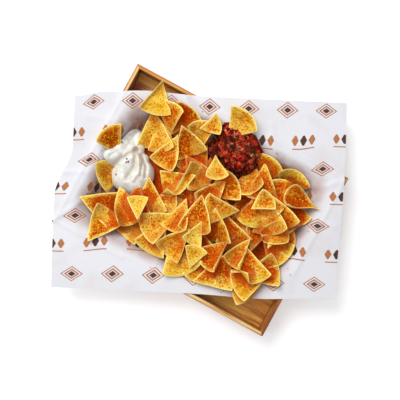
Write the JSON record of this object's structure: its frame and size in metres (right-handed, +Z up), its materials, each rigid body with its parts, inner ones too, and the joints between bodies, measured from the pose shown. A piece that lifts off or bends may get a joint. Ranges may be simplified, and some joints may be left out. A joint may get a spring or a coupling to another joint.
{
  "type": "tray of tortilla chips with salsa and sour cream",
  "caption": "Shallow wooden tray lined with printed paper, heaped with triangular tortilla chips, a dollop of sour cream and a mound of chopped salsa.",
  "frame": {"origin": "middle of the tray's flat underside", "axes": "+X along the tray's long side, +Y towards the long wall behind the salsa, +Z up"},
  "size_m": [0.4869, 0.4552, 0.0868],
  "materials": {
    "tray_wood": "oiled bamboo, satin, straight grain",
    "liner_paper": "thin greaseproof paper, matte, small printed motifs",
    "corn_chip": "fried corn, dry and blistered, dusted with seasoning",
    "sour_cream": "smooth, slightly wet, with ground pepper",
    "salsa": "wet, finely chopped"
  },
  "bodies": {
    "root": {"tray_floor": "tray_wood", "tray_wall_back": "tray_wood", "tray_wall_front": "tray_wood", "tray_wall_left": "tray_wood", "tray_wall_right": "tray_wood", "paper_liner": "liner_paper", "chips": "corn_chip", "chip_at_left_wall": "corn_chip", "chip_behind_salsa": "corn_chip", "chip_under_cream": "corn_chip", "sour_cream": "sour_cream", "salsa": "salsa"}
  },
  "joints": []
}
